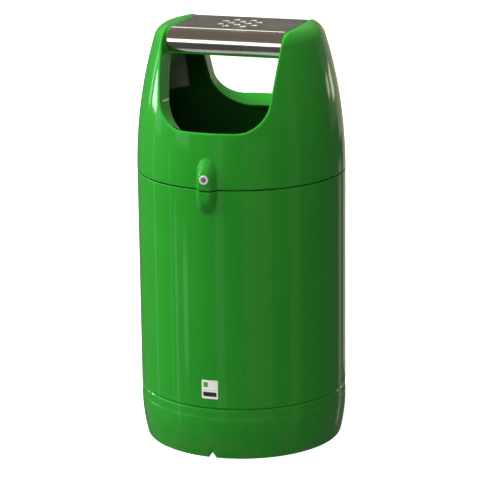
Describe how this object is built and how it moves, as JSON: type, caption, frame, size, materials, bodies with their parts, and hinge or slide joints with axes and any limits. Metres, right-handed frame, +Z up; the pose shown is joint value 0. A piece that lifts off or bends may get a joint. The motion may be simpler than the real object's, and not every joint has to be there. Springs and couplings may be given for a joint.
{
  "type": "litter bin",
  "caption": "Round hooded litter bin with a moulded base and body, a hinged lockable hood open at front and back, a steel stubber plate and a lift-out metal liner.",
  "frame": {"origin": "on the floor, at the middle of the bin's box", "axes": "+Z up, -Y to the front where the lock is, +X to the right of a person who faces the front from behind it, along the hinge"},
  "size_m": [0.56, 0.606, 1.13],
  "materials": {
    "green_plastic": "glossy rotationally moulded polyethylene",
    "black_plastic": "matt moulded",
    "rubber": "matt",
    "white_label": "satin printed film",
    "stainless": "bright rolled stainless",
    "zinc_steel": "zinc plated",
    "galvanised": "hot dip galvanised",
    "cast_zinc": "satin die cast",
    "chrome": "polished chrome plate",
    "concrete": "cast concrete"
  },
  "bodies": {
    "bin_body": {"base_plinth": "green_plastic", "body_shell": "green_plastic", "floor_bolts": "zinc_steel", "floor_nuts": "zinc_steel", "ballast_slab": "concrete", "seat_ring": "black_plastic", "seat_ring_screws": "zinc_steel", "rim_buffers": "rubber", "label_plate": "white_label", "keeper_block": "cast_zinc", "keeper_pin": "zinc_steel", "keeper_screws": "zinc_steel", "body_hinge_leaf": "stainless", "body_hinge_bolts": "stainless", "body_hinge_nuts": "stainless", "hinge_pin": "stainless"},
    "hood": {"hood_shell": "green_plastic", "hood_hinge_leaf": "stainless", "hood_hinge_bolts": "stainless", "hood_hinge_nuts": "stainless", "stubber_plate": "stainless", "plate_studs": "stainless", "wing_nuts": "zinc_steel", "ash_tray": "galvanised", "lock_housing": "chrome", "lock_nut": "zinc_steel"},
    "lock": {"lock_plug": "cast_zinc", "lock_cam": "zinc_steel", "cam_nut": "zinc_steel"},
    "liner": {"liner_tub": "galvanised", "liner_rim": "galvanised", "handle_eyes": "zinc_steel", "eye_rivets": "zinc_steel"},
    "left_liner_handle": {"left_handle": "zinc_steel"},
    "right_liner_handle": {"right_handle": "zinc_steel"}
  },
  "joints": [
    {"name": "hood_hinge", "type": "hinge", "parent": "bin_body", "child": "hood", "pos_m": [0, 0.2955, 0.738], "axis": [-1, 0, 0], "range_deg": [0, 100]},
    {"name": "lock_turn", "type": "hinge", "parent": "hood", "child": "lock", "pos_m": [0, -0.3, 0.769], "axis": [0, -1, 0], "range_deg": [0, 90]},
    {"name": "liner_lift", "type": "slide", "parent": "bin_body", "child": "liner", "axis": [0, 0, 1], "range_m": [0, 0.14]},
    {"name": "left_handle_swing", "type": "hinge", "parent": "liner", "child": "left_liner_handle", "pos_m": [-0.222, 0, 0.665], "axis": [0, -1, 0], "range_deg": [0, 110]},
    {"name": "right_handle_swing", "type": "hinge", "parent": "liner", "child": "right_liner_handle", "pos_m": [0.222, 0, 0.665], "axis": [0, 1, 0], "range_deg": [0, 110]}
  ]
}
